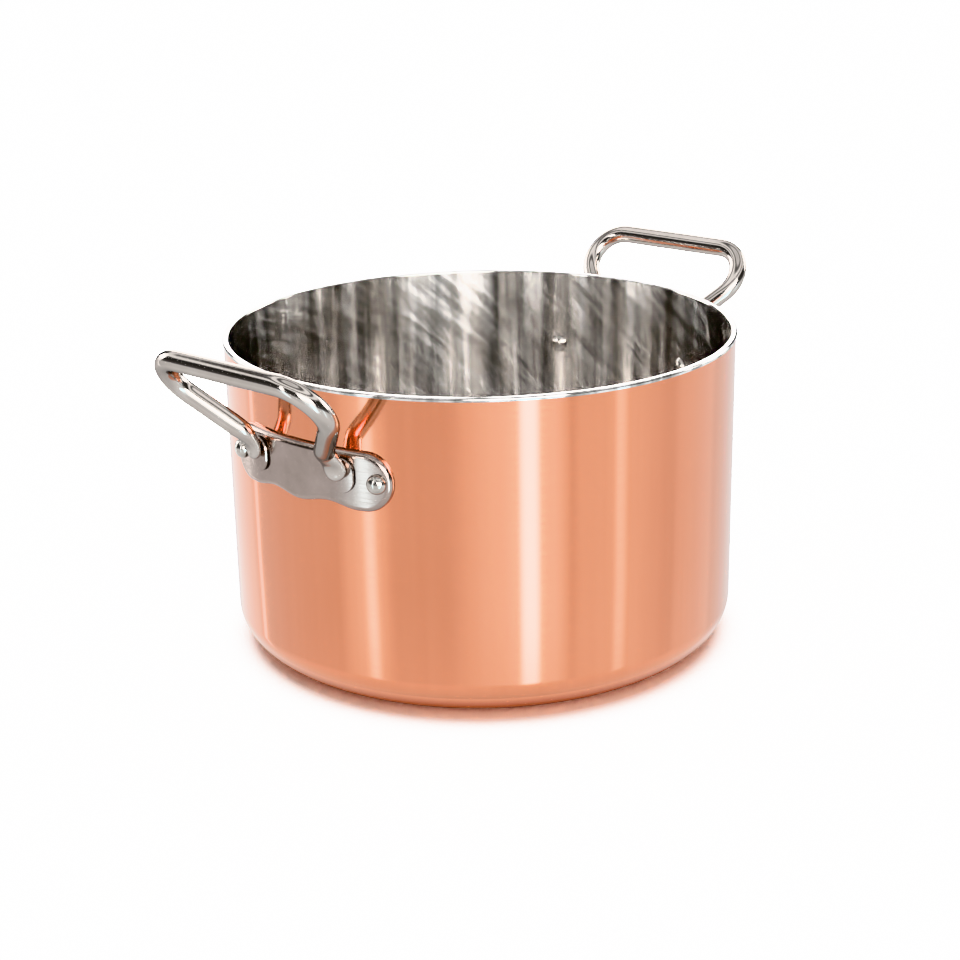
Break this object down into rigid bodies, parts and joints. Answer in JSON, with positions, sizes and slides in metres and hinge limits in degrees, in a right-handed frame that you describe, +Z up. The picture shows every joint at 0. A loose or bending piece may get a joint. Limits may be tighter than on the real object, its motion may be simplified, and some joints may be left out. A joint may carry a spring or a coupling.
{
  "type": "stew pot",
  "caption": "Straight-sided round copper stew pot with a rounded bottom corner, a tinned inside that rolls over the rim, and riveted steel loop handles on opposite sides.",
  "frame": {"origin": "middle of the flat underside, on the surface that the pot stands on", "axes": "+Z up along the pot's own axis; +X out through the middle of one handle, with the other handle on -X"},
  "size_m": [0.3364, 0.246, 0.1682],
  "materials": {
    "copper": "brushed copper, lightly polished",
    "tin": "hand-wiped bright tin",
    "loop_steel": "polished stainless steel",
    "plate_steel": "satin to polished stainless steel",
    "rivet_steel": "polished rivet head"
  },
  "bodies": {
    "root": {"copper_body": "copper", "tin_lining": "tin", "right_handle_plate": "plate_steel", "right_handle_loop": "loop_steel", "right_foot_pad_a": "plate_steel", "right_foot_pad_b": "plate_steel", "right_rivet_a": "rivet_steel", "right_rivet_b": "rivet_steel", "left_handle_plate": "plate_steel", "left_handle_loop": "loop_steel", "left_foot_pad_a": "plate_steel", "left_foot_pad_b": "plate_steel", "left_rivet_a": "rivet_steel", "left_rivet_b": "rivet_steel"}
  },
  "joints": []
}
